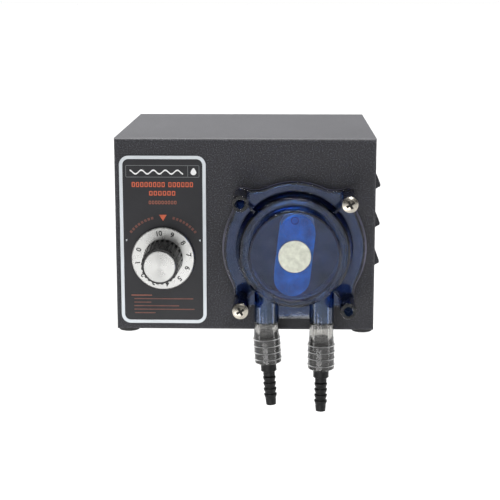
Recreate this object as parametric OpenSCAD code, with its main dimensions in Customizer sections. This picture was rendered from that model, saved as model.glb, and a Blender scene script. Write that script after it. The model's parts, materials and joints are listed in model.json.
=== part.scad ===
/* Peristaltic dosing pump: a louvred sheet-steel case with a dial-controlled
   gearmotor inside and a two-roller pump head on the front panel.
   Millimetres. +X is to the right seen from the front, +Z is up and the front
   faces -Y. The origin is the centre of the wall-hole pattern on the back face. */

/* [Case] */
// Width of the case
case_w = 152.4; // [140:1:170]
// Height of the case
case_h = 114; // [108:1:130]
// Depth of the case from the wall face to the front panel
case_d = 148; // [140:1:170]
// Thickness of the case sheet
sheet = 1.2; // [1:0.1:1.6]
// Outer bend radius of the four front edges
bend_r = 2; // [1.8:0.1:3]
// Distance between wall holes, left to right
wall_hole_dx = 110; // [90:1:120]
// Distance between wall holes, bottom to top
wall_hole_dz = 76; // [60:1:80]
// Radius of a wall hole
wall_hole_r = 2.6; // [2:0.1:3]

/* [Louvres] */
// Louvres on the right-hand side
louvre_rows = 3; // [1:1:4]
// Height from one louvre to the next
louvre_pitch = 23; // [16:0.5:26]
// Height of one louvre
louvre_h = 11.5; // [9:0.5:14]
// How far a louvre stands out
louvre_out = 3.5; // [2.5:0.1:5]
// Length of a louvre from front to back
louvre_len = 108; // [60:1:112]

/* [Dial and label] */
// Height of the dial axis below the middle of the case
dial_drop = 13.6; // [8:0.1:20]
// Distance of the dial axis to the left of the middle
dial_left = 48; // [44:0.5:50]
// Diameter of the numbered skirt
skirt_dia = 37; // [30:0.5:42]
// Diameter of the knob at its base
knob_dia = 23.4; // [20:0.1:26]
// Height of the knob's front above the skirt
knob_h = 22; // [16:0.5:26]
// Grip flutes around the knob
knob_flutes = 24; // [12:1:30]
// Width of the label plate
label_w = 50.5; // [46:0.5:54]
// Height of the label plate
label_h = 100; // [80:1:104]

/* [Pump head] */
// Distance of the pump axis to the right of the middle
head_right = 29; // [24:0.5:32]
// Height of the pump axis below the middle of the case
head_drop = 7; // [4:0.5:12]
// Reach of the head's flange to the left and right of the pump axis
flange_r = 41; // [40:0.5:43]
// Reach of the head's flange above the pump axis
flange_top_r = 39.2; // [38.6:0.1:41]
// Distance of a corner post from the pump axis, along X and along Z
post_xy = 30.75; // [30:0.25:32]
// Length of a corner post
post_len = 31; // [28:0.5:34]
// Inside radius of the raceway that the tube lies in
raceway_r = 30.5; // [30:0.1:31]
// Front of the clear window above the panel
window_z = 27.2; // [26:0.2:30]
// Distance of each tube leg from the pump axis
leg_x = 16.1; // [15.5:0.1:17]

/* [Rotor and tube] */
// Outer radius of a roller
roller_r = 9.5; // [9:0.1:9.6]
// Distance of a roller pin from the pump axis
roller_c = 15.6; // [15.2:0.1:15.6]
// Lean of the stored rotor, clockwise from upright
rotor_lean = 6.5; // [0:0.5:30]
// Outer radius of the round pump tube
tube_r = 5.55; // [5:0.05:5.6]
// Thickness of the tube where the raceway presses it flat
tube_flat = 4.8; // [4:0.1:4.8]

/* [Motor] */
// Outer radius of the motor can
motor_r = 18; // [17:0.5:18]
// Length of the motor can
motor_len = 52; // [48:1:60]

/* [Hidden] */
$fn = 64;
eps = 0.01;

front_y = -case_d;
dial_x = -dial_left;
dial_z = -dial_drop;
head_x = head_right;
head_z = -head_drop;

// case details
side_screw_y = -8;
side_screw_z = 38;
flange_len = 14;
plate_t = 1.5;
plate_gap = 0.2;
foot_r = 6.3;
foot_h = 1.8;
foot_floor = 0.6;
foot_recess_r = 4;
foot_edge = 0.5;
foot_x = case_w / 2 - 6.5;
foot_y = [front_y + foot_r + 1.5, -foot_r - 8];
louvre_top = 37;
louvre_lip = 2.9;
// section of a louvre: how far out and how high, as shares of louvre_out and louvre_h
louvre_section = [
    [0, 0], [0.44, 0.1], [0.94, 0.18], [1, 0.25], [0.97, 0.32], [0.79, 0.47], [0.43, 0.74], [0, 1]];

// label and dial, as heights above the front panel
label_t = 0.6;
label_corner = 5.5;
label_dz = -3.05;
skirt_z = [1.8, 3];
nut_hole_r = 7.5;
knob_taper = 0.95;
knob_top_r = knob_dia / 2 - knob_taper;
knob_edge = 0.8;
flute_r = 0.9;
flute_cut = 0.65;
set_screw_r = 1.5;
set_screw_z = skirt_z[1] + 5;
shaft_end_z = skirt_z[1] + knob_h - 4;
cap_r = 9;
cap_t = 1;
pot_shaft_r = 3;
pot_bush_r = 4.5;
pot_front = -sheet;
pot_len = 10;

// board, standing on the floor of the case
floor_z = -case_h / 2 + sheet;
board = [80, 78, 1.6];
board_at = [-68, -118];
standoff_h = 7.8;
board_z = floor_z + standoff_h;
board_top = board_z + board[2];
board_hole_in = 4;
board_screw_r = 1.5;
standoff_r = 3;
capacitor_r = 6.3;
capacitor_h = 20;
transformer_core = [30, 12, 24];
transformer_coil = [20, 24, 16];
sink_plate = [34, 3, 20];
sink_fin = [2, 10, 20];
sink_fins = 7;
terminal = [14, 12, 10];
terminal_screw_r = 2;
terminal_mouth = [3, 5, 3];

// cord gland on the left side
gland_y = -28;
gland_z = -40;
gland_bore_r = 3.5;
gland_r = 8;
gland_hex_r = 12;

// gear train: module, teeth of each wheel and pinion, tooth shape in modules
gear_m = 1;
wheel_z = 36;
pinion_z = 12;
pressure_angle = 20;
addendum = 0.85;
dedendum = 1.2;
tooth_play = 0.06;

// gearmotor, measured from the pump axis; heights are negative behind the front panel
gear_cd = gear_m * (wheel_z + pinion_z) / 2;
idler_at = [0, gear_cd];
motor_at = [-gear_cd, gear_cd];
front_plate_z = [-sheet - 3, -sheet];
rear_plate_z = [-sheet - 22, -sheet - 19];
out_gear_z = [-12, -6];
idler_wheel_z = [-18.5, -13.5];
box_lo = [-45, -26];
box_hi = [25.5, 46];
pillar_in = 5;
plate_screw_c = 15.5;
shaft_r = 4;
bush_r = 6;
pin_r = 2;
run_clear = 0.04;
motor_front = rear_plate_z[0];
motor_back = motor_front - motor_len;
end_cap_t = 3;
magnet_in_r = 13.2;
magnet_at = 14;
magnet_len = motor_len - 22;
core_r = 12.6;
core_span = [motor_back + 17, motor_front - 11];
commutator_r = 5;
commutator_span = [motor_back + 3, motor_back + 11];
brush_size = [7, 4, 5];
brush_at = 2;

// pump head, as heights above the front panel
flange_z = 5.5;
flange_t = 1.5;
base_rim = [1.3, 0.2];
skin = 1.2;
post_r = 4.7;
pad_r = post_r + 0.2;
post_hole_r = 2.65;
flat_y = -41.7;
foot_half_w = 23.2;
fillet_r = 16;
cup_r = [34.3, 32.1];
ring_z = 17.3;
ring_in_z = 15.8;
boss_r = 26.4;
boss_in_r = 24.9;
window_t = 1.6;
window_fit = 0.05;
gate_r = 2.25;
gate_at = 20.9;
screw_turn = 30;
base_t = 1.5;
tube_z = 9;
tunnel_r = 6;
tunnel_wall = 1.1;
tunnel_end = -42.4;
leg_inside = 22;
hub_r = 9.35;
hub_clear = 0.1;
core_hub_r = 5.5;
rear_arm_z = [2, 4.5];
front_arm_z = [19.1, 25];
arm_r = 10.3;
arm_c = 12.95;
roller_z = [4.8, 15.4, 18.8];
roller_shoulder_r = 5;
roller_clear = 0.06;
roller_pin_r = 2;

// tube connectors: four wide barbs held in the pump tube, a shoulder and a small
// four-crest barb for the user's hose. Heights run down from the top of the part.
connector_top = [-47.6, -51.3];
connector_len = 45.5;
connector_lean = [3.8, 0];
connector_turn_y = -50;
in_barb_top = 3.3;
in_barb_pitch = 4;
in_barb_r = 5.6;
tube_hold = 20;
out_barb_r = 3.75;
out_root_r = 3.1;
out_barb_at = 28.5;
out_barb_pitch = 3.5;
out_land = 0.7;
connector_bore_r = 2;

// ---------- helpers ----------

// the plane of the front panel: local X right, local Y up, local Z outwards
module at_front(x, z, out = 0) {
    translate([x, front_y - out, z]) rotate([90, 0, 0]) children();
}

module at_head(out = 0) { at_front(head_x, head_z, out) children(); }

module at_dial(out = 0) { at_front(dial_x, dial_z, out) children(); }

// everything from one height to another
module slab(z) { translate([0, 0, z[0]]) linear_extrude(z[1] - z[0]) children(); }

module disc(r, z) { translate([0, 0, z[0]]) cylinder(r = r, h = z[1] - z[0]); }

module ring(r_out, r_in, z) {
    slab(z) difference() {
        circle(r_out);
        circle(r_in);
    }
}

module round_rect(w, h, r) {
    square([w - 2 * r, h], center = true);
    square([w, h - 2 * r], center = true);
    for (sx = [-1, 1], sy = [-1, 1])
        translate([sx * (w / 2 - r), sy * (h / 2 - r)]) circle(r);
}

// cross-recess pan-head screw, head sitting on z = 0 and shank going down; slot is the
// recess's width as a share of the head's radius
module pan_screw(head_r, head_h, shank_r, length, slot = 0.24) {
    difference() {
        union() {
            intersection() {
                cylinder(r = head_r, h = head_h);
                translate([0, 0, head_h - 2.2 * head_r]) sphere(2.2 * head_r);
            }
            translate([0, 0, -length]) cylinder(r = shank_r, h = length + eps);
        }
        for (a = [0, 90])
            rotate(a) translate([-head_r * 0.55, -head_r * slot / 2, head_h * 0.3])
                cube([head_r * 1.1, head_r * slot, head_h]);
    }
}

module at_corners(x, y) { for (sx = [-1, 1], sy = [-1, 1]) translate([sx * x, sy * y, 0]) children(); }

// ---------- case ----------

// outline of the case seen across one pair of bends: width w, front corners rounded
module bent_outline(w, y_front, y_back, r) {
    translate([-w / 2, y_front + r]) square([w, y_back - y_front - r]);
    translate([-w / 2 + r, y_front]) square([w - 2 * r, r + eps]);
    for (s = [-1, 1]) translate([s * (w / 2 - r), y_front + r]) circle(r);
}

module pan_solid(inset, y_back) {
    r = bend_r - inset;
    y_front = front_y + inset;
    intersection() {
        translate([0, 0, -case_h]) linear_extrude(2 * case_h)
            bent_outline(case_w - 2 * inset, y_front, y_back, r);
        rotate([0, 90, 0]) translate([0, 0, -case_w]) linear_extrude(2 * case_w)
            bent_outline(case_h - 2 * inset, y_front, y_back, r);
    }
}

// one louvre lying along Y on the plane x = 0, its bottom at z = 0
module louvre_shape(outline, length) {
    rotate([90, 0, 0]) translate([0, 0, -length / 2]) linear_extrude(length) polygon(outline);
}

module louvre_hood() {
    louvre_shape([for (p = louvre_section) [p[0] * louvre_out - 0.1, p[1] * louvre_h]], louvre_len);
}

module louvre_gap() {
    louvre_shape([[0.05, -1], [louvre_out - 1.4, -1], [louvre_out - 1.3, louvre_lip - 0.1],
        [-0.3, louvre_h - 1.7], [-2, louvre_h - 1.7], [-2, 0.5], [0.05, 0.5]],
        louvre_len - 2 * sheet);
}

// places of the louvres, turned so that local X points out of the right-hand side
module at_louvres() {
    for (i = [0:louvre_rows - 1])
        translate([case_w / 2, -case_d / 2 - 8, louvre_top - louvre_h - i * louvre_pitch]) children();
}

module case_pan() {
    difference() {
        pan_solid(0, 0);
        pan_solid(sheet, 1);
    }
}

// the space taken by a side panel, on the +X side
module side_space() {
    translate([case_w / 2 - sheet, -case_d - 1, -case_h]) cube([2 * sheet, case_d + 2, 2 * case_h]);
}

// front, top and bottom, bent from one sheet
module case_shell() {
    color([0.25, 0.25, 0.27]) difference() {
        case_pan();
        for (side = [0, 1]) mirror([side, 0, 0]) side_space();
        at_head() disc(bush_r + 0.5, [-3, 1]);
        at_head() at_post_screws() disc(2.2, [-3, 1]);
        at_head() at_plate_screws() plate_screw_shape();
        at_dial() disc(pot_bush_r + 0.1, [-3, 1]);
        at_feet() disc(pin_r, [-3, 1]);
    }
}

// right-hand side panel before its louvres are pressed
module side_panel() {
    difference() {
        intersection() {
            case_pan();
            side_space();
        }
        for (sz = [-1, 1])
            translate([case_w / 2, side_screw_y, sz * side_screw_z]) rotate([0, 90, 0])
                disc(pin_r + 0.1, [-4, 4]);
    }
}

module side_panel_left() {
    color([0.25, 0.25, 0.27]) difference() {
        mirror([1, 0, 0]) side_panel();
        at_gland() disc(gland_r, [-4, 4]);
    }
}

module side_panel_right() {
    color([0.25, 0.25, 0.27]) difference() {
        union() {
            side_panel();
            at_louvres() louvre_hood();
        }
        at_louvres() louvre_gap();
    }
}

// side screws: local Z points out of the side
module at_side_screws() {
    for (side = [0, 1], sz = [-1, 1])
        mirror([side, 0, 0])
            translate([case_w / 2, side_screw_y, sz * side_screw_z]) rotate([0, 90, 0]) children();
}

module back_plate() {
    inner_w = case_w - 2 * sheet - 2 * plate_gap;
    inner_h = case_h - 2 * sheet - 2 * plate_gap;
    color([0.28, 0.28, 0.3]) difference() {
        union() {
            translate([-inner_w / 2, -plate_t, -inner_h / 2]) cube([inner_w, plate_t, inner_h]);
            for (side = [0, 1])
                mirror([side, 0, 0])
                    translate([inner_w / 2 - plate_t, -flange_len, -inner_h / 2 + 6])
                        cube([plate_t, flange_len - eps, inner_h - 12]);
        }
        rotate([90, 0, 0]) at_corners(wall_hole_dx / 2, wall_hole_dz / 2)
            disc(wall_hole_r, [-1, plate_t + 1]);
        at_side_screws() disc(pin_r, [-6, 0]);
    }
}

module back_plate_screws() {
    color([0.2, 0.2, 0.21]) at_side_screws() pan_screw(3.6, 2, pin_r, 6);
}

// feet: local Z points down
module at_feet() {
    for (sx = [-1, 1], y = foot_y)
        translate([sx * foot_x, y, -case_h / 2]) rotate([180, 0, 0]) children();
}

module rubber_feet() {
    color([0.08, 0.08, 0.08]) at_feet() rotate_extrude() polygon([
        [pin_r + 0.2, 0], [foot_r, 0], [foot_r, foot_h - foot_edge], [foot_r - foot_edge, foot_h],
        [foot_recess_r, foot_h], [foot_recess_r, foot_floor], [pin_r + 0.2, foot_floor]]);
}

module foot_screws() {
    color([0.7, 0.7, 0.7]) at_feet() translate([0, 0, foot_floor]) pan_screw(3.4, 1, pin_r, 6);
}

// ---------- label and dial ----------

module label_plate() {
    color([0.12, 0.12, 0.13]) difference() {
        at_front(-dial_left, label_dz) linear_extrude(label_t)
            round_rect(label_w, label_h, label_corner);
        at_dial() disc(pot_bush_r + 0.2, [-1, 2]);
    }
}

module dial_skirt() {
    color([0.85, 0.86, 0.87]) at_dial() rotate_extrude() polygon([
        [nut_hole_r, skirt_z[0]], [skirt_dia / 2, skirt_z[0]], [skirt_dia / 2, skirt_z[1] - 0.5],
        [skirt_dia / 2 - 0.5, skirt_z[1]], [nut_hole_r, skirt_z[1]]]);
}

module knob_body() {
    z0 = skirt_z[1];
    z1 = z0 + knob_h;
    color([0.07, 0.07, 0.07]) at_dial() difference() {
        rotate_extrude() polygon([
            [pot_shaft_r, z0 + 2], [nut_hole_r, z0 + 2], [nut_hole_r, z0], [knob_dia / 2, z0],
            [knob_top_r, z1 - knob_edge], [knob_top_r - knob_edge, z1], [0, z1], [0, shaft_end_z],
            [pot_shaft_r, shaft_end_z]]);
        for (i = [0:knob_flutes - 1])
            rotate(360 / knob_flutes * i)
                translate([knob_dia / 2 + flute_r - flute_cut, 0, z0])
                    rotate([0, -atan(knob_taper / knob_h), 0]) disc(flute_r, [1.5, knob_h + 2]);
        translate([0, -pot_shaft_r, set_screw_z]) rotate([90, 0, 0]) cylinder(r = set_screw_r, h = 20);
    }
}

module knob_cap() {
    z0 = skirt_z[1] + knob_h;
    color([0.82, 0.82, 0.83]) at_dial() rotate_extrude() polygon([
        [0, z0], [cap_r, z0], [cap_r, z0 + cap_t - 0.3], [cap_r - 0.3, z0 + cap_t], [0, z0 + cap_t]]);
}

module knob_set_screw() {
    color([0.35, 0.35, 0.36]) at_dial() translate([0, -pot_shaft_r, set_screw_z])
        rotate([90, 0, 0]) difference() {
            cylinder(r = set_screw_r, h = 6);
            translate([-2, -0.25, 5.2]) cube([4, 0.5, 2]);
        }
}

module pot_shaft() {
    color([0.75, 0.75, 0.76]) at_dial() disc(pot_shaft_r, [pot_front - pot_len + 1, shaft_end_z]);
}

module pot_body() {
    color([0.15, 0.3, 0.2]) at_dial() difference() {
        union() {
            disc(8.5, [pot_front - pot_len, pot_front]);
            disc(pot_bush_r, [pot_front - eps, 3.4]);
            for (i = [-1:1])
                translate([i * 5 - 0.5, -15, pot_front - 4]) cube([1, 9, 0.8]);
        }
        disc(pot_shaft_r + run_clear, [pot_front - pot_len + 1, 5]);
    }
}

module pot_nut() {
    color([0.7, 0.7, 0.7]) at_dial() slab([label_t, 2.6]) difference() {
        circle(r = 6.9, $fn = 6);
        circle(pot_bush_r);
    }
}

// ---------- control board ----------

module at_board_corners() {
    for (x = [board_hole_in, board[0] - board_hole_in], y = [board_hole_in, board[1] - board_hole_in])
        translate([board_at[0] + x, board_at[1] + y, 0]) children();
}

module on_board(x, y) { translate([board_at[0] + x, board_at[1] + y, board_top]) children(); }

module control_board() {
    color([0.1, 0.35, 0.2]) difference() {
        translate([board_at[0], board_at[1], board_z]) cube(board);
        at_board_corners() disc(board_screw_r + 0.1, [board_z - 1, board_top + 1]);
    }
}

module board_standoffs() {
    color([0.75, 0.75, 0.7]) at_board_corners()
        ring(standoff_r, board_screw_r, [floor_z, board_z]);
}

module board_screws() {
    color([0.7, 0.7, 0.7]) at_board_corners() translate([0, 0, board_top])
        pan_screw(2.8, 1.8, board_screw_r, 7);
}

module board_capacitors() {
    color([0.1, 0.15, 0.4]) for (y = [20, 36])
        on_board(14, y) cylinder(r = capacitor_r, h = capacitor_h);
}

module board_transformer() {
    color([0.3, 0.28, 0.25]) on_board(30, 52) {
        for (block = [transformer_core, transformer_coil])
            translate((transformer_core - block) / 2) cube(block);
    }
}

module board_heat_sink() {
    color([0.6, 0.6, 0.62]) on_board(28, 8) {
        cube(sink_plate);
        for (i = [0:sink_fins - 1])
            translate([i * (sink_plate[0] - sink_fin[0]) / (sink_fins - 1), sink_plate[1] - eps, 0])
                cube(sink_fin);
    }
}

module terminal_block() {
    color([0.15, 0.45, 0.2]) on_board(8, 56) difference() {
        cube(terminal);
        for (i = [0, 1]) {
            pole_x = terminal[0] * (0.25 + 0.5 * i);
            translate([pole_x, terminal[1] / 2, terminal[2] / 2])
                cylinder(r = terminal_screw_r, h = terminal[2]);
            translate([pole_x - terminal_mouth[0] / 2, -1, 1]) cube(terminal_mouth);
        }
    }
}

// ---------- cord gland, local Z out of the left side ----------

module at_gland() { translate([-case_w / 2, gland_y, gland_z]) rotate([0, -90, 0]) children(); }

module cord_gland() {
    color([0.1, 0.1, 0.1]) at_gland() difference() {
        union() {
            disc(gland_r, [-9, 0]);
            slab([0, 5]) circle(r = gland_hex_r, $fn = 6);
            rotate_extrude() polygon([[0, 5 - eps], [9.6, 5 - eps], [9.6, 10], [6.6, 14], [0, 14]]);
        }
        disc(gland_bore_r, [-12, 16]);
    }
}

module gland_locknut() {
    color([0.1, 0.1, 0.1]) at_gland() slab([-sheet - 4, -sheet]) difference() {
        circle(r = gland_hex_r, $fn = 6);
        circle(gland_r);
    }
}

// ---------- gearmotor ----------

// involute tooth: half its angle at radius r, in degrees
function involute(r, base_r) = r <= base_r ? 0 : tan(acos(base_r / r)) * 180 / PI - acos(base_r / r);

function half_tooth(r, z, base_r) =
    90 / z - tooth_play / (gear_m * z / 2) * 180 / PI
    + involute(gear_m * z / 2, base_r) - involute(r, base_r);

function tooth_radii(z) =
    let (pitch_r = gear_m * z / 2)
    let (low = pitch_r - dedendum * gear_m)
    let (high = pitch_r + addendum * gear_m)
    let (base = max(low, pitch_r * cos(pressure_angle)))
    [low, base, (base + pitch_r) / 2, pitch_r, (pitch_r + high) / 2, high];

module gear_outline(z) {
    radii = tooth_radii(z);
    base_r = gear_m * z / 2 * cos(pressure_angle);
    n = len(radii);
    polygon([for (tooth = [0:z - 1], i = [0:2 * n - 1])
        let (k = i < n ? i : 2 * n - 1 - i)
        let (side = i < n ? -1 : 1)
        let (a = 360 / z * tooth + side * half_tooth(radii[k], z, base_r))
        radii[k] * [cos(a), sin(a)]]);
}

module gear(z, span, bore_r) {
    slab(span) difference() {
        gear_outline(z);
        circle(bore_r);
    }
}

module plate_shape() {
    difference() {
        translate(box_lo) square(box_hi - box_lo);
        at_idler() circle(pin_r);
        circle(bush_r);
    }
}

module at_idler() { translate(idler_at) children(); }

module at_motor() { translate(motor_at) children(); }

module at_pillars() {
    for (x = [box_lo[0] + pillar_in, box_hi[0] - pillar_in],
        y = [box_lo[1] + pillar_in, box_hi[1] - pillar_in])
        translate([x, y]) children();
}

module at_plate_screws() { at_corners(plate_screw_c, plate_screw_c) children(); }

// countersunk screw, flush with the front panel
module plate_screw_shape() {
    translate([0, 0, -1.5]) cylinder(r1 = 1.5, r2 = 3, h = 1.5);
    disc(1.5, [front_plate_z[0], -1.5 + eps]);
}

module gearbox_front_plate() {
    color([0.7, 0.7, 0.68]) at_head() difference() {
        slab(front_plate_z) plate_shape();
        at_plate_screws() disc(1.5, [-10, 2]);
        at_plate_screws() translate([0, 0, -1.5]) cylinder(r1 = 1.5, r2 = 3, h = 1.5);
        at_pillars() disc(1.5, [-10, 2]);
    }
}

module gearbox_rear_plate() {
    color([0.7, 0.7, 0.68]) at_head() difference() {
        slab(rear_plate_z) plate_shape();
        at_motor() disc(bush_r, [-40, 0]);
        at_pillars() disc(1.5, [-40, 0]);
    }
}

module gearbox_pillars() {
    color([0.75, 0.75, 0.72]) at_head() at_pillars()
        ring(3.5, 1.5, [rear_plate_z[1], front_plate_z[0]]);
}

module panel_screws() {
    color([0.6, 0.6, 0.6]) at_head() at_plate_screws() plate_screw_shape();
}

module pillar_screws() {
    color([0.6, 0.6, 0.6]) at_head() at_pillars()
        translate([0, 0, rear_plate_z[0]]) rotate([180, 0, 0]) pan_screw(2.8, 2, 1.5, 20);
}

module shaft_bushings() {
    color([0.7, 0.55, 0.3]) at_head() {
        ring(bush_r, shaft_r + run_clear, front_plate_z);
        ring(bush_r, shaft_r + run_clear, rear_plate_z);
    }
}

module motor_bushings() {
    color([0.7, 0.55, 0.3]) at_head() at_motor() {
        ring(bush_r, pin_r + run_clear, rear_plate_z);
        ring(bush_r, pin_r + run_clear, [motor_back - end_cap_t, motor_back]);
    }
}

// the output shaft has a flat where it drives the hub
module shaft_outline(flat) {
    difference() {
        circle(shaft_r);
        if (flat) translate([shaft_r - 1, -5]) square([5, 10]);
    }
}

module output_shaft() {
    color([0.75, 0.75, 0.76]) at_head() {
        disc(shaft_r, [rear_plate_z[0] - 1, rear_arm_z[0] + eps]);
        slab([rear_arm_z[0], front_arm_z[0] + 1]) shaft_outline(true);
    }
}

module output_gear() {
    color([0.72, 0.7, 0.66]) at_head() gear(wheel_z, out_gear_z, shaft_r);
}

module idler_gear() {
    color([0.72, 0.7, 0.66]) at_head() at_idler() {
        gear(wheel_z, idler_wheel_z, pin_r + run_clear);
        rotate(180 / pinion_z) gear(pinion_z, [idler_wheel_z[1], out_gear_z[1] + 0.5], pin_r + run_clear);
    }
}

module idler_pin() {
    color([0.75, 0.75, 0.76]) at_head() at_idler() disc(pin_r, [rear_plate_z[0], front_plate_z[1]]);
}

module motor_can() {
    color([0.6, 0.61, 0.62]) at_head() at_motor() rotate_extrude() polygon([
        [bush_r, motor_front], [motor_r, motor_front], [motor_r, motor_back],
        [motor_r - sheet, motor_back], [motor_r - sheet, motor_front - sheet],
        [bush_r, motor_front - sheet]]);
}

module motor_magnets() {
    color([0.2, 0.2, 0.2]) at_head() at_motor() for (a = [25, 205])
        rotate(a) translate([0, 0, motor_back + magnet_at]) rotate_extrude(angle = 130)
            translate([magnet_in_r, 0]) square([motor_r - sheet - magnet_in_r, magnet_len]);
}

// five-pole core
module core_outline() {
    difference() {
        circle(core_r);
        for (i = [0:4]) rotate(72 * i) {
            translate([core_r - 8, -2.6]) square([6, 5.2]);
            translate([core_r - 3, -0.9]) square([5, 1.8]);
        }
        circle(pin_r);
    }
}

module motor_armature() {
    color([0.5, 0.5, 0.52]) at_head() at_motor()
        slab(core_span) core_outline();
}

module motor_commutator() {
    color([0.72, 0.42, 0.2]) at_head() at_motor()
        ring(commutator_r, pin_r, commutator_span);
}

module motor_windings() {
    color([0.72, 0.38, 0.15]) at_head() at_motor()
        for (span = [[core_span[0] - 4.5, core_span[0]], [core_span[1], core_span[1] + 4]])
            ring(core_r - 1.5, pin_r, span);
}

module motor_shaft() {
    color([0.75, 0.75, 0.76]) at_head() at_motor()
        disc(pin_r, [motor_back - end_cap_t + 1, idler_wheel_z[1] + 1]);
}

module motor_pinion() {
    color([0.7, 0.6, 0.35]) at_head() at_motor() rotate(180 / pinion_z)
        gear(pinion_z, [idler_wheel_z[0] - 0.5, idler_wheel_z[1] + 0.5], pin_r);
}

module motor_end_cap() {
    color([0.12, 0.12, 0.12]) at_head() at_motor() difference() {
        union() {
            disc(motor_r, [motor_back - end_cap_t, motor_back]);
            for (s = [-1, 1]) translate([s * 9.5 - 3, -3.2, motor_back - eps]) cube([6, 6.4, 9]);
        }
        disc(bush_r, [motor_back - end_cap_t - 1, motor_back + 1]);
        for (s = [-1, 1])
            translate([s * 9.5 - 4, -brush_size[1] / 2, motor_back + brush_at])
                cube([8, brush_size[1], brush_size[2]]);
    }
}

module motor_brushes() {
    color([0.25, 0.25, 0.25]) at_head() at_motor() for (side = [0, 1])
        mirror([side, 0, 0]) translate([commutator_r + 0.3, -brush_size[1] / 2, motor_back + brush_at])
            cube(brush_size);
}

// ---------- pump head ----------

// outline of the flange, drawn in by g: a disc that reaches further sideways (reach[0])
// than up and down (reach[1]), and four pads joined to it by hollow fillets
function arc_points(centre, r, from, to, steps) = [
    for (i = [0:steps]) centre + r * [cos(mix(from, to, i / steps)), sin(mix(from, to, i / steps))]
];

function turned(points, a) =
    [for (p = points) [p[0] * cos(a) - p[1] * sin(a), p[0] * sin(a) + p[1] * cos(a)]];

post_at = sqrt(2) * post_xy;

// where the fillet between a pad and a disc of radius r lies: its centre's angle and
// the angle at which it meets the pad
function fillet_angle(r) =
    let (big = r + fillet_r)
    let (small = pad_r + fillet_r)
    acos((post_at * post_at + big * big - small * small) / (2 * post_at * big));

function pad_angle(r) =
    let (a = fillet_angle(r))
    let (big = r + fillet_r)
    atan2(big * sin(a), post_at - big * cos(a));

// one corner on the +X axis, between discs of radius r0 and r1: fillet, pad, fillet,
// then the second disc round to the next corner
function corner_points(g, r0, r1) =
    let (a0 = fillet_angle(r0))
    let (a1 = fillet_angle(r1))
    let (e0 = pad_angle(r0))
    let (e1 = pad_angle(r1))
    concat(
        arc_points((r0 + fillet_r) * [cos(a0), -sin(a0)], fillet_r + g, 180 - a0, e0 + 3, 5),
        arc_points([post_at, 0], pad_r - g, e0 - 180, 180 - e1, 8),
        arc_points((r1 + fillet_r) * [cos(a1), sin(a1)], fillet_r + g, -e1 - 3, a1 - 180, 5),
        arc_points([0, 0], r1 - g, a1 + 3, 87 - a1, 16));

module head_outline(g, reach = [flange_r, flange_top_r]) {
    polygon([for (i = [0:3])
        each turned(corner_points(g, reach[i % 2], reach[(i + 1) % 2]), 45 + 90 * i)]);
    translate([g - foot_half_w, flat_y + g]) square([2 * (foot_half_w - g), 12]);
}

module at_posts() { at_corners(post_xy, post_xy) children(); }

// the upper right and lower left posts carry screws
module at_post_screws() { for (s = [-1, 1]) translate([s * post_xy, s * post_xy, 0]) children(); }

module at_legs() { for (s = [-1, 1]) translate([s * leg_x, 0, 0]) children(); }

// the room of one tube leg, open towards the base
module leg_room(r, y_end, z) {
    translate([0, y_end, tube_z]) rotate([-90, 0, 0]) cylinder(r = r, h = -y_end - leg_inside);
    translate([-r, y_end, z]) cube([2 * r, -y_end - leg_inside, tube_z - z]);
}

module head_base() {
    color([0.06, 0.07, 0.12]) at_head() slab([0, base_t]) difference() {
        head_outline(0, [flange_r, flange_top_r] + base_rim);
        circle(bush_r + 0.5);
        at_posts() circle(post_hole_r);
    }
}

module head_housing() {
    color([0.1, 0.18, 0.5, 0.6]) at_head() difference() {
        union() {
            difference() {
                slab([base_t, flange_z]) head_outline(0);
                slab([0, flange_z - flange_t]) head_outline(skin);
            }
            rotate_extrude() polygon([
                [0, base_t], [cup_r[0], base_t], [cup_r[0], flange_z], [cup_r[1], ring_z - 0.8],
                [cup_r[1] - 0.8, ring_z], [0, ring_z]]);
            at_posts() disc(post_r, [base_t, post_len]);
            for (d = [45:90:315]) rotate(d)
                translate([cup_r[1] - 1.5, -0.7, base_t]) cube([10, 1.4, ring_z - 3 - base_t]);
            at_legs() leg_room(tunnel_r + tunnel_wall, tunnel_end, base_t);
        }
        disc(raceway_r, [-1, ring_in_z]);
        disc(boss_r + window_fit, [ring_in_z - 1, ring_z + 1]);
        at_legs() leg_room(tunnel_r, tunnel_end - 1, 0);
        at_posts() disc(post_hole_r, [-1, post_len + 1]);
    }
}

// the clear front, a shallow cup let into the housing's ring, open at the hub
module head_window() {
    color([0.1, 0.18, 0.5, 0.6]) at_head() {
        rotate_extrude() polygon([
            [boss_in_r, ring_in_z], [boss_r, ring_in_z], [boss_r, window_z - 0.5],
            [boss_r - 0.5, window_z], [hub_r + hub_clear, window_z],
            [hub_r + hub_clear, window_z - window_t], [boss_in_r, window_z - window_t]]);
        translate([0, gate_at, window_z - eps]) cylinder(r = gate_r, h = 0.5);
    }
}

module head_screws() {
    color([0.75, 0.74, 0.7]) at_head() at_post_screws() translate([0, 0, post_len])
        rotate(screw_turn) pan_screw(4.5, 2.6, pin_r, post_len + 8, 0.3);
}

module head_nuts() {
    color([0.7, 0.7, 0.7]) at_head() at_post_screws() slab([-sheet - 3.2, -sheet]) difference() {
        circle(r = 4, $fn = 6);
        circle(pin_r);
    }
}

module lean() { rotate(-rotor_lean) children(); }

module arm_outline() {
    difference() {
        union() {
            square([2 * arm_r, 2 * arm_c], center = true);
            for (s = [-1, 1]) translate([0, s * arm_c]) circle(arm_r);
        }
        circle(core_hub_r);
        for (s = [-1, 1]) translate([0, s * roller_c]) circle(roller_pin_r);
    }
}

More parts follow.
